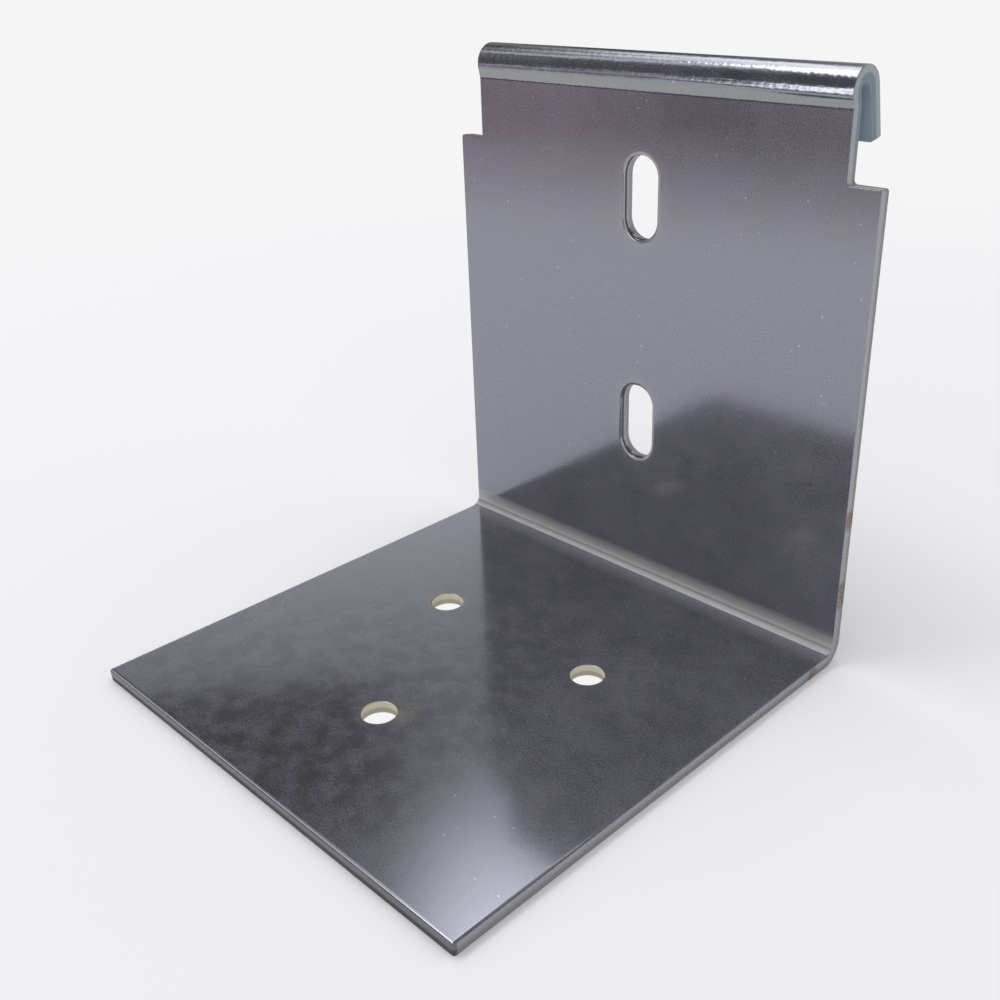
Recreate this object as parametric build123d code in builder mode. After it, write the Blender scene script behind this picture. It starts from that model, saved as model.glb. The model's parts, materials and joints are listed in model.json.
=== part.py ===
"""Camera bracket: one piece of zinc-plated sheet steel, folded into an L and rolled into a hook along its top.

The base carries the camera on three screws set at 120 degrees. The upright stands at the back of the base and
has two vertical slots, one above the other. Above a shoulder at each side the sheet is narrower. There it kicks
forward a little, rolls over half a turn to the back and ends in a short leg, which makes a hook open downwards.

The blank was punched from one side, the one that becomes the base's top, the upright's front and the hook's
outside. Its edges are rolled over on that side and sharp on the other.

X runs along the width, Y runs from the base's front edge to the back, and Z points up. The origin is the centre
of the camera screws' circle, on the underside of the base. All lengths are in millimetres, all angles in degrees.
"""

import os

from build123d import *
from build123d.topology import topo_explore_connected_faces

# Sheet
SHEET = 2.5
PLATE_WIDTH = 100.0
CORNER_RADIUS = 0.6
ROLLOVER_RADIUS = 0.4

# Base and fold
BASE_DEPTH = 101.5
FOLD_RADIUS = 2.0
FOLD_ANGLE = 90.0

# Camera screw holes
CAMERA_CIRCLE = 46.0
CAMERA_HOLES = 3
CAMERA_HOLE = 6.6
CIRCLE_SETBACK = 51.5

# Upright
SHOULDER_HEIGHT = 91.0
NOTCH_WIDTH = 6.4
SLOT_WIDTH = 8.0
SLOT_LENGTH = 16.0
SLOT_PITCH = 46.0
SLOT_MIDDLE = 60.5

# Hook
NECK_HEIGHT = 11.8
KICK_ANGLE = 14.0
KICK_RADIUS = 1.0
KICK_FLAT = 1.6
ROLL_RADIUS = 1.5
ROLL_ANGLE = 180.0
LEG_LENGTH = 9.4

REAR_FACE = CIRCLE_SETBACK
FRONT_FACE = REAR_FACE - SHEET
FRONT_EDGE = REAR_FACE - BASE_DEPTH
KICK_START = SHOULDER_HEIGHT + NECK_HEIGHT

# Line of the punched side, seen from the right with the base's front edge at the left
with BuildLine() as punched_side:
    base = Line((FRONT_EDGE, SHEET), (FRONT_FACE - FOLD_RADIUS, SHEET))
    fold = JernArc(base @ 1, base % 1, FOLD_RADIUS, FOLD_ANGLE)
    upright = Line(fold @ 1, (FRONT_FACE, KICK_START))
    kick = JernArc(upright @ 1, upright % 1, KICK_RADIUS, KICK_ANGLE)
    kick_flat = PolarLine(kick @ 1, KICK_FLAT, direction=kick % 1)
    roll = JernArc(kick_flat @ 1, kick_flat % 1, ROLL_RADIUS + SHEET, -ROLL_ANGLE)
    PolarLine(roll @ 1, LEG_LENGTH, direction=roll % 1)


def is_rolled_over(edge):
    """True for an edge of a cut face on the punched side, false for a line where a flat runs into a bend."""
    middle = edge.position_at(0.5)
    normals = [Face(face).normal_at(middle) for face in topo_explore_connected_faces(edge)]
    is_cut = normals[0].get_angle(normals[-1]) > 1
    return is_cut and punched_side.line.distance_to((middle.Y, middle.Z, 0)) < 0.01


with BuildPart() as folded_bracket:
    # Section through the whole sheet
    with BuildSketch(Plane.YZ):
        with BuildLine():
            add(punched_side)
            offset(amount=SHEET, side=Side.RIGHT)
        make_face()
    extrude(amount=PLATE_WIDTH / 2, both=True)

    # Notch beside the neck at each side, open to the top
    with BuildSketch(Plane.XZ.offset(-REAR_FACE - PLATE_WIDTH)):
        with Locations((-PLATE_WIDTH / 2, SHOULDER_HEIGHT), (PLATE_WIDTH / 2, SHOULDER_HEIGHT)):
            Rectangle(2 * NOTCH_WIDTH, PLATE_WIDTH, align=(Align.CENTER, Align.MIN))
    extrude(amount=2 * PLATE_WIDTH, mode=Mode.SUBTRACT)

    # Corners of the cut outline, the only edges as long as the sheet is thick
    fillet(folded_bracket.edges().filter_by(lambda edge: abs(edge.length - SHEET) < 0.01), CORNER_RADIUS)

    # Camera screw holes, the first one towards the front edge
    with BuildSketch(Plane.XY):
        with PolarLocations(CAMERA_CIRCLE / 2, CAMERA_HOLES, start_angle=-90):
            Circle(CAMERA_HOLE / 2)
    extrude(amount=SHEET, mode=Mode.SUBTRACT)

    # Vertical slots in the upright
    with BuildSketch(Plane.XZ.offset(-REAR_FACE)):
        with Locations((0, SLOT_MIDDLE)):
            with GridLocations(0, SLOT_PITCH, 1, 2):
                SlotOverall(SLOT_LENGTH, SLOT_WIDTH, rotation=90)
    extrude(amount=SHEET, mode=Mode.SUBTRACT)

    # Rolled-over edges
    fillet(folded_bracket.edges().filter_by(is_rolled_over), ROLLOVER_RADIUS)

folded_bracket.part.label = "folded_bracket"

os.makedirs("parts", exist_ok=True)
export_step(folded_bracket.part, "parts/folded_bracket.step")
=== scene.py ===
"""Dresses the folded camera bracket: its sheared and rolled-over sheet, its zinc finish, and the stage around it."""

import json
import math

import bpy
import numpy as np
from mathutils import Matrix, Vector
from mathutils.geometry import delaunay_2d_cdt


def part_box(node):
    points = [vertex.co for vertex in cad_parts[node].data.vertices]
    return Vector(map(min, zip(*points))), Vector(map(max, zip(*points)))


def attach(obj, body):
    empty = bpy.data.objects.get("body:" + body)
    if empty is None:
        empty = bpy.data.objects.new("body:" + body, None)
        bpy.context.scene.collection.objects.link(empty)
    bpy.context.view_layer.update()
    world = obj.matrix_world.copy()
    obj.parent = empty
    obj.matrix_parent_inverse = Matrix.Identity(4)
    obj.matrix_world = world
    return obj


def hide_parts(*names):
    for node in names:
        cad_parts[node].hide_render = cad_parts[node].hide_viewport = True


bl_info = {
    "name": "Folded Camera Bracket",
    "version": (1, 0, 0),
    "blender": (4, 5, 0),
    "location": "View3D > Sidebar > Bracket",
    "description": "Folds a punched sheet into a camera bracket, plates it with zinc and sets the stage",
    "category": "Add Mesh",
}

MM = 0.001
NODE = "folded_bracket"

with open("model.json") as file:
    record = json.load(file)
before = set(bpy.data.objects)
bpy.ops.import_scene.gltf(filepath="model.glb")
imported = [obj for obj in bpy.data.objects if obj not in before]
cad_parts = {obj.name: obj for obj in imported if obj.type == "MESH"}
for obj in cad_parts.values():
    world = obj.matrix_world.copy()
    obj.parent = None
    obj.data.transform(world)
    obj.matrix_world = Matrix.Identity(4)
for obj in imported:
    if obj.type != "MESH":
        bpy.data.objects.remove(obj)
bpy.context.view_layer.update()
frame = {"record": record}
MOUNTS = {mount["name"]: mount for mount in frame["record"]["mounts"]}
SCREWS = MOUNTS["camera_screws"]
SLOTS = MOUNTS["wall_slots"]
LOW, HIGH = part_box(NODE)
REAR_FACE = MOUNTS["rear_face"]["pos_m"][1]
SEAT = MOUNTS["camera_seat"]["pos_m"][2]

# How the mesh is divided
TINY = 1e-9
CORNER_STEPS = 5
HOLE_STEPS = 28
SLOT_STEPS = 24
LEAST_ROWS = 4  # On a straight stretch, however short
LEAST_RADIUS = 0.03 * MM  # Left on an outward corner when its loop is set in
CORNER_GAP = 2.0 * MM  # From a corner to the next mesh line
FACE_MARGIN = 0.6 * MM  # From the outline's rollover to the face's first points
NEAREST = 0.55  # Least distance from a loop to a point of the face, as a share of the spacing

# Where the cuts differ
ROLLOVER_FADE = 6.0 * MM  # Stretch at the upright's foot over which the base's rollover gets lighter
PUNCHED_SIDE = 0.2  # Share of the sheet's thickness that counts as the punched side
# Painted highlight round the holes and slots, where the rollover catches light: its width and its strength in each
RIM_HIGHLIGHT_WIDTH = 0.8 * MM
HOLE_RIM_HIGHLIGHT = 0.3
SLOT_RIM_HIGHLIGHT = 0.5

CARD_WHITE = (0.97, 0.98, 1.0)  # Linear, a slightly cool light
SOFT = {"interpolation_type": "SMOOTHSTEP"}  # For a mask that starts and ends softly


def length(name, description, default):
    """A size in metres that the sidebar shows in the scene's units."""
    return bpy.props.FloatProperty(
        name=name, description=description, default=default, min=0.0, precision=5, subtype="DISTANCE", unit="LENGTH"
    )


def angle(name, description, default):
    """An angle whose default is given in degrees."""
    return bpy.props.FloatProperty(
        name=name, description=description, default=math.radians(default), subtype="ANGLE", unit="ROTATION"
    )


def share(name, description, default):
    """A number from 0 to 1."""
    return bpy.props.FloatProperty(
        name=name, description=description, default=default, min=0.0, max=1.0, subtype="FACTOR"
    )


def number(name, description, default):
    """A plain number with no unit."""
    return bpy.props.FloatProperty(name=name, description=description, default=default)


def linear(code):
    """The linear colour of an sRGB hex value such as #92959a."""
    channels = [int(code[i : i + 2], 16) / 255 for i in (1, 3, 5)]
    return tuple(c / 12.92 if c <= 0.04045 else ((c + 0.055) / 1.055) ** 2.4 for c in channels)


def colour(name, description, code):
    """A colour whose default is an sRGB hex value."""
    return bpy.props.FloatVectorProperty(
        name=name, description=description, default=linear(code), min=0.0, max=1.0, subtype="COLOR"
    )


class BracketSizes(bpy.types.PropertyGroup):
    """Sizes of the sheet and its bends"""

    sheet: length("Sheet", "Thickness of the sheet", SEAT)
    width: length("Width", "Width of the base and of the upright", HIGH.x - LOW.x)
    base_depth: length("Base depth", "From the front edge to the upright's rear face", REAR_FACE - LOW.y)
    corner_radius: length("Corner radius", "Radius of the blank's corners", 0.6 * MM)
    rollover: length("Rollover", "Width of the upper edge that the punch drew down", 0.75 * MM)
    rollover_depth: length("Rollover depth", "How far the punch drew the upper edge down", 0.32 * MM)
    light_rollover: share("Light rollover", "Rollover of all but base and slots, as a share of theirs", 0.28)
    edge_break: length("Edge break", "Radius left on the sharp lower edge by plating", 0.08 * MM)
    tear: length("Tear", "How far the torn part of the cut stands back", 0.10 * MM)
    fold_radius: length("Fold radius", "Inside radius of the fold", 2.0 * MM)
    shoulder_height: length("Shoulder height", "Height of the shoulders above the underside", 91.0 * MM)
    notch_width: length("Notch width", "Width of the notch beside the neck", 6.4 * MM)
    neck_height: length("Neck height", "From the shoulders to the kick", 11.8 * MM)
    kick_angle: angle("Kick angle", "How far the neck kicks forward", 14.0)
    kick_radius: length("Kick radius", "Inside radius of the kick", 1.0 * MM)
    kick_flat: length("Kick flat", "Flat between the kick and the roll", 1.6 * MM)
    roll_radius: length("Roll radius", "Inside radius of the rolled hook", 1.5 * MM)
    leg: length("Leg", "Length of the hook's leg", 9.4 * MM)
    spacing: length("Mesh spacing", "Distance between mesh lines on the flats", 2.5 * MM)
    bend_step: angle("Bend step", "Angle between mesh lines in a bend", 2.0)
    ridge: length("Ridge", "Height of the ridge that the tool left along the roll's foot", 0.07 * MM)
    ridge_rise: length("Ridge rise", "Length of the ridge's steep lower side", 0.45 * MM)
    ridge_fall: length("Ridge fall", "Length of the ridge's upper side", 1.0 * MM)


class BracketFinish(bpy.types.PropertyGroup):
    """Colours and grain of the zinc plating"""

    zinc: colour("Zinc", "Clear passivated zinc", "#93949c")
    bloom: colour("Bloom", "Thin bluish bloom of the passivate", "#92929e")
    # Partly the tone of the folding tool's marks, partly a painted highlight on the fold's bands and round the slots
    scuff: colour("Scuff", "Zinc over the marks that the folding tool left", "#b9b8b4")
    recess: colour("Recess", "Dull bluish zinc inside the hook", "#b4c2ce")
    burnish: colour("Burnish", "Smooth upper band of a cut", "#9b9a9f")
    tear: colour("Torn band", "Rough lower band of a cut", "#8a898b")
    # Darker, bluish copies of the cut colours on the hook's cut: painted shade
    shaded_hook_burnish: colour("Hook burnish", "Smooth band of the hook's cut", "#8f9a9f")
    shaded_hook_tear: colour("Hook torn band", "Rough bluish band of the hook's cut", "#75828e")
    # Darker copies of the cut colours on the base's front edge: painted shade
    shaded_front_burnish: colour("Front burnish", "Smooth band of the front edge's cut", "#727075")
    shaded_front_tear: colour("Front torn band", "Rough band of the front edge's cut", "#4b484c")
    # Painted light on a round hole's wall: a cream highlight on its upper half and a lighter tone on its lower half
    lit_hole_wall: colour("Hole wall", "Upper half of a round hole's wall", "#f0ecd8")
    lit_hole_tear: colour("Hole torn band", "Lower half of a round hole's wall", "#cdc8b2")
    # Painted highlight in the ring round each round hole, and the tone of the dull patch beside the front hole
    hole_highlight_and_patch: colour("Hole halo", "Dull ring and patch beside a round hole", "#b3af9a")
    # Painted shade on the upper band of a slot's wall
    shaded_slot_wall: colour("Slot wall", "Smooth band of a slot's wall", "#4a464d")
    # A pale band across the kick's flat, paler than the zinc round it
    kick_band: colour("Kick band", "Pale band that the tool rubbed on the kick's flat", "#979a98")
    # Painted shade in the kick's crease
    crease_shade: colour("Crease", "Thin dark line along the kick", "#2f2b32")
    speck: colour("Speck", "Bright speck and scratch", "#d4d6da")
    stain: colour("Stain", "Brown spot where the plating is thin", "#5f5036")
    metallic: share("Metallic", "Share of the light that the clear zinc mirrors", 0.93)
    bloom_metallic: share("Bloom metallic", "The same in the bloom", 0.58)
    dull_metallic: share("Dull metallic", "The same inside the hook and in torn bands", 0.4)
    haze: share("Haze", "Share of the mirrored light that the plating scatters widely", 0.07)
    haze_roughness: share("Haze roughness", "Roughness of the scattered part", 0.45)
    roughness: share("Roughness", "Roughness of the plated faces", 0.13)
    cut_roughness: share("Cut roughness", "Roughness of torn bands and the hook's inside", 0.52)
    scuff_roughness: share("Scuff roughness", "Roughness of the folding tool's marks", 0.72)
    cloud: length("Cloud", "Width of a cloud in the bloom", 16.0 * MM)
    wave: length("Wave", "Width of a wave in the sheet", 9.0 * MM)
    wave_height: length("Wave height", "Height of a wave", 0.006 * MM)
    mottle: length("Mottle", "Width of a mottle", 5.0 * MM)
    mottle_height: length("Mottle height", "Height of a mottle", 0.004 * MM)
    grain: length("Grain", "Width of the plating's grain, drawn coarser than it is", 0.4 * MM)
    grain_height: length("Grain height", "Height of the grain", 0.0005 * MM)
    streak_height: length("Streak height", "Height of the streaks that the tool left on the roll", 0.006 * MM)
    dimple: length("Dimple", "Width of the dimples that the tool left on the roll", 1.3 * MM)
    dimple_height: length("Dimple height", "Height of the dimples", 0.05 * MM)
    speck_gap: length("Speck gap", "Distance between specks", 9.0 * MM)
    speck_radius: length("Speck radius", "Radius of a speck", 0.18 * MM)


class BracketStage(bpy.types.PropertyGroup):
    """Floor, lights and camera"""

    floor: colour("Floor", "White paper that the bracket stands on", "#f3f3f4")
    paper_far: colour("Far paper", "The paper's plain tone away from the bracket", "#f5f5f6")
    dome: colour("Dome", "Even light from all round", "#e3e3e5")
    wall: colour("Wall", "Pale wall that the metal mirrors", "#ececee")
    ceiling: colour("Ceiling", "Dim ceiling that the metal mirrors", "#7b7a87")
    wall_top: angle("Wall top", "Elevation at which the wall starts to darken", 24.0)
    ceiling_start: angle("Ceiling start", "Elevation at which the ceiling starts", 40.0)
    cloth: colour("Cloth", "Dark cloth beyond the paper", "#a28695")
    cloth_shade: colour("Cloth shade", "The cloth's darker part", "#5f4459")
    # Also the painted shade that the metal mirrors in the paper under the bracket
    shade: colour("Shade", "Unlit room over the cloth", "#45434b")
    lamp_glow: number("Lamp glow", "Brightness of the ceiling beside the softbox, where 1 is white", 1.25)
    key: number("Key", "Brightness of the softbox, where 1 is white", 3.6)
    window: number("Window", "Brightness of the low window, where 1 is white", 4.0)
    azimuth: angle("Azimuth", "Camera's turn round the bracket", 45.02)
    elevation: angle("Elevation", "How far the camera looks down", 25.89)
    roll: angle("Roll", "Camera's tilt about its own axis", 1.40)
    lens: number("Lens", "Focal length in millimetres for a 36 mm sensor", 41.44)
    shift_x: number("Shift X", "Sideways shift of the frame", -0.0316)
    shift_y: number("Shift Y", "Upward shift of the frame", -0.0019)
    place: bpy.props.FloatVectorProperty(
        name="Place",
        description="Where the camera stands",
        default=(0.14184, -0.12416, 0.12853),
        subtype="TRANSLATION",
        unit="LENGTH",
    )


class Section:
    """The line of the punched side, from the base's front edge to the end of the hook's leg."""

    def __init__(self, sizes):
        upright_foot = sizes.sheet + sizes.fold_radius
        self.stretches = [
            (sizes.base_depth - sizes.sheet - sizes.fold_radius, 0.0),
            (sizes.fold_radius * math.pi / 2, math.pi / 2),
            (sizes.shoulder_height + sizes.neck_height - upright_foot, 0.0),
            (sizes.kick_radius * sizes.kick_angle, sizes.kick_angle),
            (sizes.kick_flat, 0.0),
            ((sizes.roll_radius + sizes.sheet) * math.pi, -math.pi),
            (sizes.leg, 0.0),
        ]
        self.starts = np.concatenate([[0.0], np.cumsum([extent for extent, turn in self.stretches])])
        self.end = self.starts[-1]
        self.shoulder = self.starts[2] + sizes.shoulder_height - upright_foot
        self.origin = (REAR_FACE - sizes.base_depth, sizes.sheet)

    def at(self, run):
        """Places and directions in the plane of Y and Z after these runs along the line."""
        place, heading = np.zeros((len(run), 2)), np.zeros(len(run))
        start, turned = np.array(self.origin), 0.0
        for (extent, turn), begin in zip(self.stretches, self.starts):
            last = turned + turn
            inside = run >= begin - TINY
            gone = np.clip(run[inside] - begin, 0, extent)
            theta = turned + turn * gone / extent
            if turn:
                radius = extent / turn
                step = radius * np.stack([np.sin(theta) - np.sin(turned), np.cos(turned) - np.cos(theta)], -1)
                whole = radius * np.array([math.sin(last) - math.sin(turned), math.cos(turned) - math.cos(last)])
            else:
                ahead = np.array([math.cos(turned), math.sin(turned)])
                step, whole = gone[:, None] * ahead, extent * ahead
            place[inside] = start + step
            heading[inside] = theta
            start, turned = start + whole, last
        return place, np.stack([np.cos(heading), np.sin(heading)], -1)

    def rows(self, spacing, step):
        """Runs at which the mesh has a line across the sheet."""
        found = [0.0]
        for (extent, turn), begin in zip(self.stretches, self.starts):
            count = math.ceil(abs(turn) / step) if turn else max(LEAST_ROWS, math.ceil(extent / spacing))
            found += [begin + extent * i / count for i in range(1, count + 1)]
        return np.array(found)

    def is_bent(self, run):
        """True if that run lies in a bend or on its edge."""
        stretches = zip(self.stretches, self.starts)
        return any(turn and begin - TINY <= run <= begin + extent + TINY for (extent, turn), begin in stretches)

    def fold(self, points, normals):
        """Bends points and normals of the flat blank, given as across, along and depth, to the bracket's shape."""
        place, ahead = self.at(points[:, 1])
        inward = np.stack([ahead[:, 1], -ahead[:, 0]], -1)
        bent = np.column_stack([points[:, 0], place + points[:, 2:] * inward])
        turned = np.column_stack([normals[:, 0], normals[:, 1:2] * ahead + normals[:, 2:] * inward])
        return bent, turned


class Loop:
    """A closed line of the blank's outline. Its points know which way the sheet lies, so it can be set in."""

    def __init__(self):
        self.points = []

    def add(self, anchor, sheetward, corner=(0.0, 0.0), arm=(0.0, 0.0), radius=0.0):
        """A point at its anchor, or on a corner's arc where a radius is given."""
        self.points.append((*anchor, *sheetward, *corner, *arm, radius))

    def columns(self):
        """The points' anchors, sheetward directions, corners, arms and radii."""
        return np.split(np.array(self.points, float), (2, 4, 6, 8), axis=1)

    def corner(self, place, into, out, radius):
        """A corner between straight stretches with these directions. An inward one is filleted from outside the
        sheet."""
        arm = out - into
        centre = place + radius * arm
        outward = into[0] * out[1] - into[1] * out[0] > 0
        for i in range(CORNER_STEPS + 1):
            t = math.pi / 2 * i / CORNER_STEPS
            away = into * math.sin(t) - out * math.cos(t)
            if outward:
                self.add(place, -away, place, arm, radius)
            else:
                self.add(centre + radius * away, away)

    def inset(self, distance):
        """The loop moved into the sheet by that distance. Outward corners keep a least radius."""
        anchor, sheetward, corner, arm, radius = self.columns()
        distance = np.reshape(distance, (-1, 1))
        left = np.maximum(radius - distance, LEAST_RADIUS)
        rounded = corner + (distance + left) * arm - left * sheetward
        return np.where(radius > 0, rounded, anchor + distance * sheetward)


def round_loop(centre, radius, half_straight, steps):
    """A round hole, or a slot if its two half circles stand apart along the sheet."""
    loop = Loop()
    for end in (1, -1):
        middle = np.array(centre) + (0, end * half_straight)
        for i in range(steps + 1 if half_straight else steps):
            t = math.pi * i / steps
            towards = end * np.array([-math.cos(t), math.sin(t)])
            loop.add(middle + radius * towards, towards)
    return loop


def outline_loop(sizes, section, rows, columns):
    """The blank's outline: a wide part for base and upright, and a narrower one for neck and hook."""
    wide, narrow = sizes.width / 2, sizes.width / 2 - sizes.notch_width
    shoulder, end = section.shoulder, section.end
    corners = [(-wide, 0), (wide, 0), (wide, shoulder), (narrow, shoulder)]
    corners += [(narrow, end), (-narrow, end), (-narrow, shoulder), (-wide, shoulder)]
    loop = Loop()
    for i, corner in enumerate(corners):
        before, after = np.array(corners[i - 1]), np.array(corners[(i + 1) % len(corners)])
        here = np.array(corner)
        into = (here - before) / np.linalg.norm(here - before)
        out = (after - here) / np.linalg.norm(after - here)
        loop.corner(here, into, out, sizes.corner_radius)
        axis = int(abs(out[1]) > 0.5)
        lines = rows if axis else columns
        low, high = sorted((here[axis], after[axis]))
        stops = lines[(lines > low + CORNER_GAP) & (lines < high - CORNER_GAP)]
        for stop in stops if out[axis] > 0 else stops[::-1]:
            point = here.copy()
            point[axis] = stop
            loop.add(point, (-out[1], out[0]))
    return loop


def cut_profile(sizes, drawn):
    """Rows of a cut from the upper face to the lower one: inset, depth, normal's outward and downward parts, and
    how far into the cut the row is, where 0 is the face, 1 the burnished band and 2 the torn band. Drawn holds for
    each point of the loop how far its edge was drawn down, where 1 is the base's outline."""
    width, fall = sizes.rollover * drawn, sizes.rollover_depth * drawn
    rows = [(beside * width, 0.0, 0.0, -1.0, 0.0) for beside in (2.2, 1.5)]
    for degrees in (0, 8, 16, 25, 35, 46, 58, 72, 90):
        t = math.radians(degrees)
        inset, drop = width * (1 - math.sin(t)), fall * (1 - math.cos(t))
        rows.append((inset, drop, math.sin(t) * fall, -math.cos(t) * width, degrees / 90))
    # The bands, by their share of the tear and of the sheet
    for inset, depth, cut in ((0.0, 0.40, 1.0), (0.0, 0.46, 1.0), (0.55, 0.54, 1.5), (0.85, 0.68, 2.0)):
        rows.append((inset * sizes.tear, depth * sizes.sheet, 1.0, 0.0, cut))
    foot = sizes.sheet - sizes.edge_break
    rows.append((sizes.tear, foot, 1.0, 0.0, 2.0))
    for degrees in (30, 60, 90):
        t = math.radians(degrees)
        inset, depth = sizes.tear + sizes.edge_break * (1 - math.cos(t)), foot + sizes.edge_break * math.sin(t)
        rows.append((inset, depth, math.cos(t), math.sin(t), 2.0 * (1 - degrees / 90)))
    return [np.broadcast_arrays(*row, drawn)[:5] for row in rows]


def skin(loops, rows, columns, sizes, section, margin):
    """Triangles of one face between its loops, as indices into the points that it returns."""
    points, edges = [], []
    for loop in loops:
        first = len(points)
        points += [Vector(p) for p in loop]
        edges += [(first + i, first + (i + 1) % len(loop)) for i in range(len(loop))]
    rim = len(points)
    near = np.concatenate(loops)
    wide, narrow = sizes.width / 2, sizes.width / 2 - sizes.notch_width
    for run in rows:
        half = wide if run < section.shoulder else narrow
        for across in columns:
            if abs(across) > half - margin or not margin < run < section.end - margin:
                continue
            apart = np.hypot(near[:, 0] - across, near[:, 1] - run)
            if apart.min() > NEAREST * sizes.spacing or section.is_bent(run):
                points.append(Vector((across, run)))
    found, _, triangles, kept, _, _ = delaunay_2d_cdt(points, edges, [], 1, TINY)
    corners = np.array([[tuple(found[i]) for i in t] for t in triangles])
    in_hole = np.any([encloses(loop, corners.mean(axis=1)) for loop in loops[1:]], axis=0)
    return [tuple(kept[i][0] for i in t) for t, hole in zip(triangles, in_hole) if not hole], points[rim:]


def encloses(loop, places):
    """True for each place that lies inside the loop."""
    inside = np.zeros(len(places), bool)
    for a, b in zip(loop, np.roll(loop, -1, axis=0)):
        spans = (a[1] > places[:, 1]) != (b[1] > places[:, 1])
        with np.errstate(divide="ignore", invalid="ignore"):
            crossing = a[0] + (places[:, 1] - a[1]) * (b[0] - a[0]) / (b[1] - a[1])
        inside ^= spans & (places[:, 0] < crossing)
    return inside


def openings(sizes, section):
    """The loops of the round holes, the first one towards the base's front edge, and those of the slots."""
    screws, bolts = SCREWS["dims"], SLOTS["dims"]
    circle, holes = screws["pcd_mm"] / 2 * MM, []
    for i in range(screws["count"]):
        t = -math.pi / 2 + 2 * math.pi * i / screws["count"]
        middle = (circle * math.cos(t), circle * math.sin(t) - LOW.y)
        holes.append(round_loop(middle, screws["hole_r_mm"] * MM, 0.0, HOLE_STEPS))
    radius, slots = bolts["hole_r_mm"] * MM, []
    half_straight = bolts["slot_length_mm"] / 2 * MM - radius
    for side in (-1, 1):
        height = SLOTS["pos_m"][2] + side * bolts["spacing_y_mm"] / 2 * MM
        middle = (0.0, section.shoulder + height - sizes.shoulder_height)
        slots.append(round_loop(middle, radius, half_straight, SLOT_STEPS))
    return holes, slots


def flat_blank(sizes, section):
    """The punched blank before it is folded, as a table of points and the faces between them. The table's columns
    are the place (across, along and depth), the normal, how far into the cut the point is, how strong the painted
    highlight round an opening is there, and whether it belongs to a round hole and to a slot."""
    rows = section.rows(sizes.spacing, sizes.bend_step)
    half_count = round(sizes.width / 2 / sizes.spacing)
    columns = np.arange(-half_count, half_count + 1) * sizes.spacing
    holes, slots = openings(sizes, section)
    loops = [outline_loop(sizes, section, rows, columns), *holes, *slots]

    # Walls of the cuts, from the upper face to the lower one
    table, faces, starts, profiles = [], [], [], []
    for loop in loops:
        anchor, sheetward = loop.columns()[:2]
        run = anchor[:, 1]
        around = len(run)
        is_hole, is_slot = loop in holes, loop in slots
        halo = HOLE_RIM_HIGHLIGHT * is_hole + SLOT_RIM_HIGHLIGHT * is_slot
        on_base = np.clip((section.starts[2] - run) / ROLLOVER_FADE, 0, 1)
        full = 0 * run + is_slot if is_hole or is_slot else on_base
        profile = cut_profile(sizes, sizes.light_rollover + (1 - sizes.light_rollover) * full)
        starts.append(len(table))
        profiles.append(profile)
        for inset, depth, out, down, cut in profile:
            normal = np.column_stack([-sheetward * out[:, None], down]) / np.hypot(out, down)[:, None]
            # Strength of the painted highlight round the opening, fading away from its edge
            rim = halo * np.exp(-inset / RIM_HIGHLIGHT_WIDTH)
            kinds = np.tile((is_hole, is_slot), (around, 1))
            table += np.column_stack([loop.inset(inset), depth, normal, cut, rim, kinds]).tolist()
        for j in range(len(profile) - 1):
            first = starts[-1] + j * around
            for i in range(around):
                a, b = first + i, first + (i + 1) % around
                faces.append((a, a + around, b + around, b))

    # Upper and lower face, between the walls' first and last rows
    for row, depth, down in ((0, 0.0, -1.0), (len(profile) - 1, sizes.sheet, 1.0)):
        edge_loops, lookup = [], []
        for loop, start, profile in zip(loops, starts, profiles):
            around = len(loop.points)
            edge_loops.append(loop.inset(profile[row][0]))
            lookup += range(start + row * around, start + (row + 1) * around)
        margin = profiles[0][row][0].max() + FACE_MARGIN
        triangles, inner = skin(edge_loops, rows, columns, sizes, section, margin)
        lookup += range(len(table), len(table) + len(inner))
        table += [(*point, depth, 0.0, 0.0, down, 0.0, 0.0, 0.0, 0.0) for point in inner]
        for triangle in triangles:
            corners = [lookup[i] for i in triangle]
            faces.append(tuple(corners if down < 0 else corners[::-1]))
    return np.array(table), faces


def sheet_mesh(sizes):
    """The whole bracket as one closed mesh, worked out flat and then folded."""
    section = Section(sizes)
    table, faces = flat_blank(sizes, section)
    blank, normals = table[:, :3], table[:, 3:6]
    cut, rim, hole, slot = table[:, 6:].T
    height, slope = tool_ridge(sizes, section, blank)
    raised = blank - np.outer(height, (0, 0, 1))
    places, turned = section.fold(raised, normals - np.outer(slope, (0, 1, 0)))
    turned /= np.linalg.norm(turned, axis=1)[:, None]
    mesh = bpy.data.meshes.new("folded_sheet")
    mesh.from_pydata(places.tolist(), [], faces)
    mesh.shade_smooth()
    for name, values in {
        "blank": blank,
        "cut": cut,
        "rim": rim,
        "hole": hole,
        "slot": slot,
        "bloom": bloomed(section, blank),
        "scuff": scuffed(sizes, section, blank),
        "past_kick": blank[:, 1] - section.starts[3],
        "recess": recessed(sizes, section, blank),
    }.items():
        kind, field = ("FLOAT_VECTOR", "vector") if values.ndim > 1 else ("FLOAT", "value")
        layer = mesh.attributes.new(name, kind, "POINT")
        layer.data.foreach_set(field, values.astype(np.float32).ravel())
    mesh.normals_split_custom_set_from_vertices(turned.tolist())
    return mesh


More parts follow.
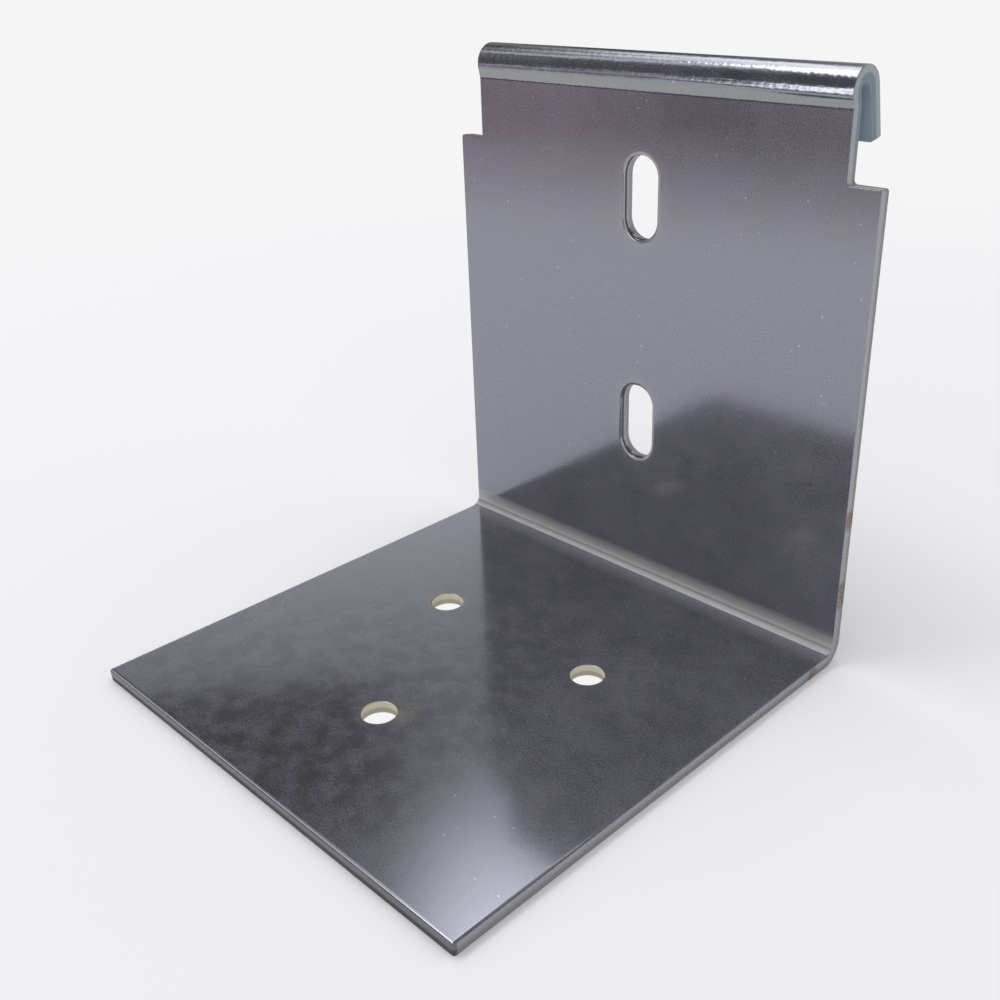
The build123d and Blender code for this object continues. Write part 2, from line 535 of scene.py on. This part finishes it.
def tool_ridge(sizes, section, blank):
    """Height and slope of the low ridge that the forming tool left on the outside, along the right half of the
    roll's foot. It runs slightly askew."""
    above_roll, askew, fade = 0.45 * MM, 0.018, 20 * MM
    foot = section.starts[5] + above_roll - askew * blank[:, 0]
    up = np.clip((blank[:, 1] - foot) / sizes.ridge_rise, 0, 1)
    down = np.clip((foot + sizes.ridge_rise + sizes.ridge_fall - blank[:, 1]) / sizes.ridge_fall, 0, 1)
    rising, falling = up * up * (3 - 2 * up), down * down * (3 - 2 * down)
    outside = np.clip(1 - blank[:, 2] / (PUNCHED_SIDE * sizes.sheet), 0, 1)
    top = sizes.ridge * np.clip(blank[:, 0] / fade, 0, 1) * outside
    slope = 6 * up * (1 - up) / sizes.ridge_rise * falling - 6 * down * (1 - down) / sizes.ridge_fall * rising
    return top * rising * falling, top * slope


def bloomed(section, blank):
    """How much bloom there is: some on the base and more on its right half, the most at the upright's foot, and
    little on the roll."""
    fold, foot, kick, flat, roll = section.starts[1:6]
    near_fold = fold - 5 * MM
    runs = (near_fold - 10 * MM, near_fold, foot, kick, flat, roll)
    levels = (0.40, 0.62, 0.90, 0.30, 0.30, 0.15)
    right = np.clip((blank[:, 0] + 15 * MM) / (25 * MM), 0, 1)
    on_base = np.clip((near_fold - blank[:, 1]) / (10 * MM), 0, 1)
    return np.interp(blank[:, 1], runs, levels) + 0.13 * right * on_base


def scuffed(sizes, section, blank):
    """How much the folding tool marked each point, and how strong the painted highlight is there: two pale bands in
    the fold with a thin line between them.
    """
    first, line, last, edge = 20, 60, 97, 6
    turned = np.degrees((blank[:, 1] - section.starts[1]) / sizes.fold_radius)
    bands = np.clip((turned - first) / edge, 0, 1) * np.clip((last - turned) / edge, 0, 1)
    clear = 0.8 * np.exp(-(((turned - line) / 4) ** 2))
    fainter = 0.3 * np.clip((line + 4 - turned) / 8, 0, 1)
    return bands * (1 - clear) * (1 - fainter) * (blank[:, 2] < PUNCHED_SIDE * sizes.sheet)


def recessed(sizes, section, blank):
    """1 on the hook's inside, 0 outside it."""
    along = np.clip((blank[:, 1] - section.starts[3]) / (4 * MM), 0, 1)
    return along * np.clip((blank[:, 2] / sizes.sheet - 0.9) / 0.1, 0, 1)


def add(tree, kind, links, out=0, **settings):
    """Adds one node with its settings and links, and returns one of its outputs, or the node if it has none. Links
    gives each input, by name or number, a value or another node's output."""
    node = tree.nodes.new(kind)
    for name, value in settings.items():
        setattr(node, name, value)
    for key, value in links.items():
        if isinstance(value, bpy.types.NodeSocket):
            tree.links.new(value, node.inputs[key])
        elif node.inputs[key].type == "RGBA":
            node.inputs[key].default_value = (*value[:3], 1.0)
        else:
            node.inputs[key].default_value = value
    return node.outputs[out] if node.outputs else node


def new_material(name):
    """An empty node material and its node tree."""
    material = bpy.data.materials.new(name)
    material.use_nodes = True
    material.node_tree.nodes.clear()
    return material, material.node_tree


def zinc_plated_steel(finish):
    """Cold-rolled steel, punched, folded, then zinc plated and clear passivated.

    The eye sees a hazy mirror: it keeps the outline of what it faces, blurred more with distance and veiled by
    light that the plating scatters. Waves and mottles break the outline, and dimples from the tool break it more on
    the roll. A thin bluish bloom lies on it in clouds with dark blotches. Each cut has a smooth bright band over a
    rough one. Painted highlights lie on the fold's bands and round the openings, painted light on the holes' walls,
    and painted shade on the walls of the slots, on the cuts of the hook and the front edge, and in the kick's crease.
    """
    material, tree = new_material("zinc_plated_punched_steel")
    blank = add(tree, "ShaderNodeAttribute", {}, "Vector", attribute_name="blank")
    cut, rim, hole, slot, bloom, scuff, past_kick, recess = [
        add(tree, "ShaderNodeAttribute", {}, "Fac", attribute_name=name)
        for name in ("cut", "rim", "hole", "slot", "bloom", "scuff", "past_kick", "recess")
    ]
    along, depth = [add(tree, "ShaderNodeSeparateXYZ", {0: blank}, axis) for axis in ("Y", "Z")]

    # Patterns, each as wide as its property says in real millimetres
    cloud, wave, mottle, grain, dimple = [
        add(tree, "ShaderNodeTexNoise", {"Vector": blank, "Scale": 1 / width, "Detail": detail, "Roughness": rough})
        for width, detail, rough in (
            (finish.cloud, 4.0, 0.55),
            (finish.wave, 1.0, 0.5),
            (finish.mottle, 2.0, 0.6),
            (finish.grain, 2.0, 0.5),
            (finish.dimple, 1.0, 0.5),
        )
    ]
    speck = add(tree, "ShaderNodeTexVoronoi", {0: blank, "Scale": 1 / finish.speck_gap}, voronoi_dimensions="2D")
    # Scratches run across the sheet, 5 mm long and a quarter of a millimetre wide
    stretched = add(tree, "ShaderNodeMapping", {"Vector": blank, "Scale": (1 / (5 * MM), 1 / (0.25 * MM), 1.0)})
    scratch = add(tree, "ShaderNodeTexNoise", {"Vector": stretched, "Scale": 1.0, "Detail": 0.0})

    # Places on the blank: the mottled front left of the base, the dull patch beside the front hole, and three brown
    # stains on the cut at the right
    from_mottles, from_patch, from_high, from_low, from_foot = [
        add(tree, "ShaderNodeVectorMath", {0: blank, 1: tuple(v * MM for v in place)}, "Value", operation="DISTANCE")
        for place in ((-14, 26, 0), (3.8, 30.2, 0), (50, 126.6, 1.2), (50, 110.6, 1.2), (50, 92.2, 1.2))
    ]
    speck_share = finish.speck_radius / finish.speck_gap
    # Each mask runs smoothly from its least at the first value to its most at the second
    masks = {
        name: add(
            tree,
            "ShaderNodeMapRange",
            {"Value": value, "From Min": first, "From Max": second, "To Min": least, "To Max": most},
            **SOFT,
        )
        for name, value, first, second, least, most in (
            ("clouded", cloud, 0.36, 0.66, -0.15, 0.15),
            ("grained", grain, 0.30, 0.70, -0.20, 0.20),
            ("mottled", mottle, 0.30, 0.70, 0.10, 0.56),
            ("uneven", from_mottles, 54 * MM, 24 * MM, 0.28, 1.0),
            ("worn", cloud, 0.44, 0.56, 0.0, 1.0),
            ("speck", speck, 1.5 * speck_share, 0.6 * speck_share, 0.0, 0.6),
            ("scratch", scratch, 0.80, 0.87, 0.0, 0.3),
            ("patch", from_patch, 3.6 * MM, 1.2 * MM, 0.0, 0.4),
            ("punched side", depth, 0.10 * MM, 0.05 * MM, 0.0, 0.8),
            ("kick", past_kick, 0.2 * MM, 0.5 * MM, 0.0, 1.0),
            ("roll", past_kick, 1.6 * MM, 2.3 * MM, 0.0, 1.0),
            ("hook", past_kick, -10 * MM, -4 * MM, 0.0, 1.0),
            ("burnished", cut, 0.55, 1.0, 0.0, 1.0),
            ("torn", cut, 1.0, 1.9, 0.0, 1.0),
            ("deep", depth, 0.60 * MM, 0.80 * MM, 0.0, 1.0),
            ("front", along, 0.9 * MM, 0.5 * MM, 0.0, 1.0),
            ("high stain", from_high, 2.6 * MM, 1.4 * MM, 0.0, 1.0),
            ("low stain", from_low, 3.6 * MM, 2.2 * MM, 0.0, 1.0),
            ("foot stain", from_foot, 1.8 * MM, 0.9 * MM, 0.0, 1.0),
            ("brown", grain, 0.36, 0.52, 0.0, 0.85),
        )
    }
    burnished, torn, roll = masks["burnished"], masks["torn"], masks["roll"]
    even = add(tree, "ShaderNodeMath", {0: bloom, 1: masks["clouded"]}, operation="ADD")
    blotched = add(tree, "ShaderNodeMix", {0: masks["uneven"], 2: even, 3: masks["mottled"]})
    veiled = add(tree, "ShaderNodeMath", {0: blotched, 1: masks["grained"]}, operation="ADD", use_clamp=True)
    band = add(tree, "ShaderNodeMath", {0: masks["kick"], 1: roll}, operation="SUBTRACT")
    browned = add(tree, "ShaderNodeMath", {0: burnished, 1: masks["brown"]}, operation="MULTIPLY")
    # The painted shade in the kick's crease is a quarter of a millimetre wide and a little jagged
    jagged = add(tree, "ShaderNodeMath", {0: grain, 1: 0.4 * MM, 2: past_kick}, operation="MULTIPLY_ADD")
    crease_shade = add(tree, "ShaderNodeMath", {0: jagged, 1: 0.30 * MM, 2: 0.12 * MM}, operation="COMPARE")

    # Each layer shows where both of its masks do
    tone = finish.zinc
    for mask, within, colour_over in (
        (veiled, 1.0, finish.bloom),
        (masks["patch"], 1.0, finish.hole_highlight_and_patch),
        (masks["scratch"], masks["worn"], finish.speck),
        (masks["speck"], masks["worn"], finish.speck),
        # Painted highlight: a pale ring round each round hole and each slot
        (rim, hole, finish.hole_highlight_and_patch),
        (rim, slot, finish.scuff),
        # The kick's flat painted paler than the zinc round it
        (band, masks["punched side"], finish.kick_band),
        # Painted shade along the kick's crease
        (crease_shade, masks["punched side"], finish.crease_shade),
        # The fold's pale bands: tool marks and a painted highlight
        (scuff, 1.0, finish.scuff),
        (recess, 1.0, finish.recess),
        (burnished, 1.0, finish.burnish),
        # Painted shade on the hook's burnished band
        (burnished, masks["hook"], finish.shaded_hook_burnish),
        (torn, 1.0, finish.tear),
        # Painted shade on the hook's torn band
        (torn, masks["hook"], finish.shaded_hook_tear),
        # Painted shade on the front edge's cut
        (burnished, masks["front"], finish.shaded_front_burnish),
        (torn, masks["front"], finish.shaded_front_tear),
        # Painted highlight and painted light on the walls of the round holes
        (burnished, hole, finish.lit_hole_wall),
        (torn, hole, finish.lit_hole_tear),
        # Painted shade on the slots' upper walls, and their deeper part painted lighter in the burnish colour
        (burnished, slot, finish.shaded_slot_wall),
        (masks["deep"], slot, finish.burnish),
        (masks["high stain"], browned, finish.stain),
        (masks["low stain"], browned, finish.stain),
        (masks["foot stain"], browned, finish.stain),
    ):
        both = add(tree, "ShaderNodeMath", {0: mask, 1: within}, operation="MULTIPLY")
        tone = add(tree, "ShaderNodeMix", {0: both, 6: tone, 7: colour_over}, 2, data_type="RGBA")
    rough = add(tree, "ShaderNodeMath", {0: recess, 1: torn}, operation="MAXIMUM")
    holed = add(tree, "ShaderNodeMath", {0: burnished, 1: hole, 2: rough}, operation="MULTIPLY_ADD", use_clamp=True)
    scuff_share = 0.55
    dull = add(tree, "ShaderNodeMath", {0: scuff, 1: scuff_share, 2: holed}, operation="MULTIPLY_ADD", use_clamp=True)
    clear = add(tree, "ShaderNodeMix", {0: veiled, 2: finish.metallic, 3: finish.bloom_metallic})
    metallic = add(tree, "ShaderNodeMix", {0: dull, 2: clear, 3: finish.dull_metallic})
    scuffed = add(tree, "ShaderNodeMix", {0: scuff, 2: finish.roughness, 3: finish.scuff_roughness})
    roughness = add(tree, "ShaderNodeMix", {0: dull, 2: scuffed, 3: finish.cut_roughness})

    normal = None
    streak_height, dimple_height = [
        add(tree, "ShaderNodeMath", {0: roll, 1: height}, operation="MULTIPLY")
        for height in (finish.streak_height, finish.dimple_height)
    ]
    for height, distance in (
        (wave, finish.wave_height),
        (mottle, finish.mottle_height),
        (grain, finish.grain_height),
        (scratch, streak_height),
        (dimple, dimple_height),
    ):
        links = {"Height": height, "Distance": distance, "Strength": 1.0}
        if normal:
            links["Normal"] = normal
        normal = add(tree, "ShaderNodeBump", links)

    plating = {"Base Color": tone, "Metallic": metallic, "Normal": normal}
    mirror, veil = [
        add(tree, "ShaderNodeBsdfPrincipled", {**plating, "Roughness": value})
        for value in (roughness, finish.haze_roughness)
    ]
    surface = add(tree, "ShaderNodeMixShader", {0: finish.haze, 1: mirror, 2: veil})
    add(tree, "ShaderNodeOutputMaterial", {"Surface": surface})
    return material


class BRACKET_OT_sheet(bpy.types.Operator):
    """Punch, fold and plate the bracket's one sheet"""

    bl_idname = "bracket.sheet"
    bl_label = "Folded Sheet"

    def execute(self, context):
        mesh = sheet_mesh(context.scene.bracket_sizes)
        if mesh.validate():
            raise RuntimeError("the folded sheet's mesh was not valid")
        bracket = bpy.data.objects.new("bracket_sheet", mesh)
        context.scene.collection.objects.link(bracket)
        mesh.materials.append(zinc_plated_steel(context.scene.bracket_finish))
        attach(bracket, "root")
        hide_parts(NODE)
        return {"FINISHED"}


def direction(azimuth, elevation):
    """The unit vector that points that many degrees round from +Y towards -X, and that many up."""
    a, e = math.radians(azimuth), math.radians(elevation)
    return Vector((-math.sin(a) * math.cos(e), math.cos(a) * math.cos(e), math.sin(e)))


def panel_light(name, azimuth, elevation, distance, width, height, brightness):
    """A rectangular softbox that faces the bracket and is hidden from the camera."""
    lamp = bpy.data.lights.new(name, "AREA")
    lamp.shape = "RECTANGLE"
    lamp.size, lamp.size_y = width, height
    lamp.energy = brightness * math.pi * width * height
    holder = bpy.data.objects.new(name, lamp)
    towards = direction(azimuth, elevation)
    holder.location = towards * distance
    holder.rotation_mode = "QUATERNION"
    holder.rotation_quaternion = towards.to_track_quat("Z", "Y")
    holder.visible_camera = False
    bpy.context.scene.collection.objects.link(holder)


def studio_world(stage):
    """The room. The metal mirrors a pale wall with a dim ceiling over it, an unlit part at the front left, and a
    glow beside the softbox. It lights the rest as an even pale dome, and the camera sees it in the paper's tone."""
    world = bpy.data.worlds.new("studio")
    world.use_nodes = True
    tree = world.node_tree
    tree.nodes.clear()
    ray = add(tree, "ShaderNodeTexCoord", {}, "Generated")
    height = add(tree, "ShaderNodeSeparateXYZ", {0: ray}, "Z")
    flat = add(tree, "ShaderNodeVectorMath", {0: ray, 1: (1.0, 1.0, 0.0)}, operation="MULTIPLY")
    level = add(tree, "ShaderNodeVectorMath", {0: flat}, operation="NORMALIZE")
    to_shade, to_glow = [
        add(tree, "ShaderNodeVectorMath", {0: vector, 1: tuple(middle)}, "Value", operation="DOT_PRODUCT")
        for vector, middle in ((level, direction(151, 0)), (ray, direction(98, 46)))
    ]
    # The ceiling by its height, the unlit part by its turn and height, and the glow by its angle from its middle
    up, sector, low, glow = [
        add(tree, "ShaderNodeMapRange", {"Value": value, "From Min": start, "From Max": end}, **SOFT)
        for value, start, end in (
            (height, math.sin(stage.wall_top), math.sin(stage.ceiling_start)),
            (to_shade, math.cos(math.radians(41)), math.cos(math.radians(13))),
            (height, math.sin(math.radians(50)), math.sin(math.radians(38))),
            (to_glow, math.cos(math.radians(17)), math.cos(math.radians(8))),
        )
    ]
    unlit = add(tree, "ShaderNodeMath", {0: sector, 1: low}, operation="MULTIPLY")
    tone = stage.wall
    for mask, colour_over in ((up, stage.ceiling), (unlit, stage.shade), (glow, (stage.lamp_glow,) * 3)):
        tone = add(tree, "ShaderNodeMix", {0: mask, 6: tone, 7: colour_over}, 2, data_type="RGBA")
    mirrored, direct = [add(tree, "ShaderNodeLightPath", {}, name) for name in ("Is Glossy Ray", "Is Camera Ray")]
    lit = add(tree, "ShaderNodeMix", {0: mirrored, 6: stage.dome, 7: tone}, 2, data_type="RGBA")
    seen = add(tree, "ShaderNodeMix", {0: direct, 6: lit, 7: stage.paper_far}, 2, data_type="RGBA")
    back = add(tree, "ShaderNodeBackground", {"Color": seen, "Strength": 1.0})
    add(tree, "ShaderNodeOutputWorld", {"Surface": back})
    bpy.context.scene.world = world


def paper_floor(stage):
    """A white paper floor. It keeps one plain tone away from the bracket and under the holes. Under the bracket the
    metal mirrors it in the room's shade tone, a painted shade."""
    material, tree = new_material("white_paper")
    place = add(tree, "ShaderNodeNewGeometry", {}, "Position")
    away = add(tree, "ShaderNodeVectorMath", {0: place}, "Value", operation="LENGTH")
    # Plain past half a metre, and within 42 mm of the middle, where the holes are
    far, under = [
        add(tree, "ShaderNodeMapRange", {"Value": away, "From Min": start, "From Max": end}, **SOFT)
        for start, end in ((0.25, 0.55), (0.045, 0.042))
    ]
    # Painted shade: within 42 mm of the middle the metal mirrors the paper in the shade tone
    mirrored = add(tree, "ShaderNodeLightPath", {}, "Is Glossy Ray")
    dimmed = add(tree, "ShaderNodeMath", {0: under, 1: mirrored}, operation="MULTIPLY")
    tone = add(tree, "ShaderNodeMix", {0: dimmed, 6: stage.paper_far, 7: stage.shade}, 2, data_type="RGBA")
    paper = add(tree, "ShaderNodeBsdfDiffuse", {"Color": stage.floor})
    plain = add(tree, "ShaderNodeEmission", {"Color": tone, "Strength": 1.0})
    kept = add(tree, "ShaderNodeMath", {0: far, 1: under}, operation="MAXIMUM")
    surface = add(tree, "ShaderNodeMixShader", {0: kept, 1: paper, 2: plain})
    add(tree, "ShaderNodeOutputMaterial", {"Surface": surface})
    mesh = bpy.data.meshes.new("floor")
    half = 6.0  # Metres, half the paper's side
    corners = [(-half, -half, 0), (half, -half, 0), (half, half, 0), (-half, half, 0)]
    mesh.from_pydata(corners, [], [(0, 1, 2, 3)])
    mesh.materials.append(material)
    floor = bpy.data.objects.new("floor", mesh)
    bpy.context.scene.collection.objects.link(floor)


def mirrored_card(name, points, faces, light):
    """A card that is seen in the metal alone, and lights or shades nothing else. Light is called with the card's
    node tree and gives its colour and brightness."""
    material, tree = new_material(name)
    tone, brightness = light(tree)
    glow = add(tree, "ShaderNodeEmission", {"Color": tone, "Strength": brightness})
    add(tree, "ShaderNodeOutputMaterial", {"Surface": glow})
    mesh = bpy.data.meshes.new(name)
    mesh.from_pydata(points, [], faces)
    mesh.materials.append(material)
    card = bpy.data.objects.new(name, mesh)
    card.visible_camera = card.visible_diffuse = card.visible_shadow = card.visible_transmission = False
    bpy.context.scene.collection.objects.link(card)
    return card


def upright_card(name, azimuth, distance, left, right, top, light):
    """An upright card that faces the bracket. Its own X runs to the left as seen from the bracket, Z up."""
    points = [(right, 0, 0), (left, 0, 0), (left, 0, top), (right, 0, top)]
    card = mirrored_card(name, points, [(0, 1, 2, 3)], light)
    ahead = direction(azimuth, 0.0)
    across = Vector((-ahead.y, ahead.x, 0.0))
    axes = Matrix((across, -ahead, (0, 0, 1))).transposed()
    card.matrix_world = Matrix.Translation(ahead * distance) @ axes.to_4x4()


def card_light(patches):
    """Light of an upright card as a sum of soft patches, each given by its middle, its reach across and up, and its
    brightness. A reach of 0 leaves that axis out."""

    def light(tree):
        place = add(tree, "ShaderNodeTexCoord", {}, "Object")
        total = 0.0
        for (x, z), reach, brightness in patches:
            across, up = [1 / extent if extent else 0.0 for extent in reach]
            moved = add(tree, "ShaderNodeVectorMath", {0: place, 1: (x, 0.0, z)}, operation="SUBTRACT")
            scaled = add(tree, "ShaderNodeVectorMath", {0: moved, 1: (across, 0.0, up)}, operation="MULTIPLY")
            apart = add(tree, "ShaderNodeVectorMath", {0: scaled}, "Value", operation="LENGTH")
            fading = {"Value": apart, "From Min": 1.0, "From Max": 0.0, "To Max": brightness}
            patch = add(tree, "ShaderNodeMapRange", fading, **SOFT)
            total = add(tree, "ShaderNodeMath", {0: total, 1: patch}, operation="ADD")
        return CARD_WHITE, total

    return light


def cloth_light(stage):
    """Tones of the dark cloth: paper at its near edge, then two folds, darker towards the right."""

    def light(tree):
        place = add(tree, "ShaderNodeNewGeometry", {}, "Position")
        level = add(tree, "ShaderNodeVectorMath", {0: place}, operation="NORMALIZE")
        outward, palest = (-0.3, -1.0, 0.0), tuple(direction(126, 0))
        away, turn = [
            add(tree, "ShaderNodeVectorMath", {0: vector, 1: towards}, "Value", operation="DOT_PRODUCT")
            for vector, towards in ((place, outward), (level, palest))
        ]
        first, second, darker = [
            add(
                tree,
                "ShaderNodeMapRange",
                {"Value": value, "From Min": start, "From Max": end, "To Max": most},
                **SOFT,
            )
            for value, start, end, most in (
                (away, 0.25, 0.42, 0.55),
                (away, 0.40, 0.60, 0.45),
                (turn, math.cos(math.radians(2)), math.cos(math.radians(17)), 1.0),
            )
        ]
        fade = add(tree, "ShaderNodeMath", {0: first, 1: second}, operation="ADD")
        cloth = add(tree, "ShaderNodeMix", {0: darker, 6: stage.cloth, 7: stage.cloth_shade}, 2, data_type="RGBA")
        return add(tree, "ShaderNodeMix", {0: fade, 6: stage.paper_far, 7: cloth}, 2, data_type="RGBA"), 1.0

    return light


def reflected_cards(stage):
    """What the metal mirrors besides the room: a cloth, a low white card, a diffuser and a window."""
    points, faces = [], []
    first_turn, sweep, steps, radii = 98, 80, 24, (0.18, 0.6, 1.25)
    for i in range(steps + 1):
        around = direction(first_turn + sweep * i / steps, 0.0)
        points += [(around.x * radius, around.y * radius, 1.0 * MM) for radius in radii]
    ring = len(radii)
    for i in range(steps):
        for a in range(ring * i, ring * i + ring - 1):
            faces.append((a, a + 1, a + ring + 1, a + ring))
    mirrored_card("dark_cloth", points, faces, cloth_light(stage))

    white = card_light([((0.0, 0.0), (0.0, 0.11), 0.62), ((0.0, 0.09), (0.0, 0.5), 0.30)])
    upright_card("white_card", 50, distance=0.13, left=0.20, right=-0.01, top=0.094, light=white)
    diffuser = card_light(
        [
            ((0.0, 0.62), (0.0, 0.36), 0.75),
            ((-0.30, 0.30), (0.26, 0.0), 1.0),
            ((-0.025, 0.43), (0.095, 0.21), 2.4),
            ((0.12, 0.45), (0.09, 0.14), 1.1),
            ((0.06, 0.56), (0.14, 0.22), 1.8),
            ((0.0, 0.35), (0.07, 0.12), 0.6),
            ((0.0, 0.17), (0.07, 0.16), 0.34),
        ]
    )
    upright_card("diffuser", 50, distance=0.28, left=0.30, right=-0.30, top=0.62, light=diffuser)
    window = card_light([((-0.10, 0.13), (0.22, 0.16), stage.window), ((0.0, 0.0), (0.0, 1.5), 0.55)])
    upright_card("window", 158, distance=1.0, left=0.35, right=-0.42, top=0.28, light=window)


class BRACKET_OT_stage(bpy.types.Operator):
    """Lay the white floor, set the lights and place the camera"""

    bl_idname = "bracket.stage"
    bl_label = "Stage"

    def execute(self, context):
        stage = context.scene.bracket_stage
        paper_floor(stage)
        studio_world(stage)
        reflected_cards(stage)
        panel_light("key_softbox", 108, 64, distance=3.0, width=2.4, height=0.9, brightness=stage.key)

        camera = bpy.data.cameras.new("camera")
        camera.sensor_width = 36.0
        camera.lens = stage.lens
        camera.shift_x, camera.shift_y = stage.shift_x, stage.shift_y
        camera.clip_start, camera.clip_end = 0.01, 50.0
        holder = bpy.data.objects.new("camera", camera)
        ahead = direction(math.degrees(stage.azimuth), -math.degrees(stage.elevation))
        right = Vector((math.cos(stage.azimuth), math.sin(stage.azimuth), 0.0))
        down = ahead.cross(right)
        c, s = math.cos(stage.roll), math.sin(stage.roll)
        right, down = right * c + down * s, down * c - right * s
        axes = Matrix((right, -down, -ahead)).transposed()
        holder.matrix_world = Matrix.Translation(stage.place) @ axes.to_4x4()
        context.scene.collection.objects.link(holder)
        context.scene.camera = holder
        context.scene.view_settings.view_transform = "Standard"
        return {"FINISHED"}


class BRACKET_PT_panel(bpy.types.Panel):
    """Sizes, finish and stage of the bracket"""

    bl_label = "Camera Bracket"
    bl_space_type = "VIEW_3D"
    bl_region_type = "UI"
    bl_category = "Bracket"

    def draw(self, context):
        for title, group in (
            ("Sizes", context.scene.bracket_sizes),
            ("Finish", context.scene.bracket_finish),
            ("Stage", context.scene.bracket_stage),
        ):
            box = self.layout.box()
            box.label(text=title)
            for name in group.__annotations__:
                box.prop(group, name)
        self.layout.operator("bracket.sheet")
        self.layout.operator("bracket.stage")


CLASSES = (BracketSizes, BracketFinish, BracketStage, BRACKET_OT_sheet, BRACKET_OT_stage, BRACKET_PT_panel)


def register():
    for cls in CLASSES:
        bpy.utils.register_class(cls)
    bpy.types.Scene.bracket_sizes = bpy.props.PointerProperty(type=BracketSizes)
    bpy.types.Scene.bracket_finish = bpy.props.PointerProperty(type=BracketFinish)
    bpy.types.Scene.bracket_stage = bpy.props.PointerProperty(type=BracketStage)


def unregister():
    del bpy.types.Scene.bracket_stage
    del bpy.types.Scene.bracket_finish
    del bpy.types.Scene.bracket_sizes
    for cls in reversed(CLASSES):
        bpy.utils.unregister_class(cls)


def main():
    register()
    bpy.ops.bracket.sheet()
    bpy.ops.bracket.stage()


if __name__ == "__main__":
    main()
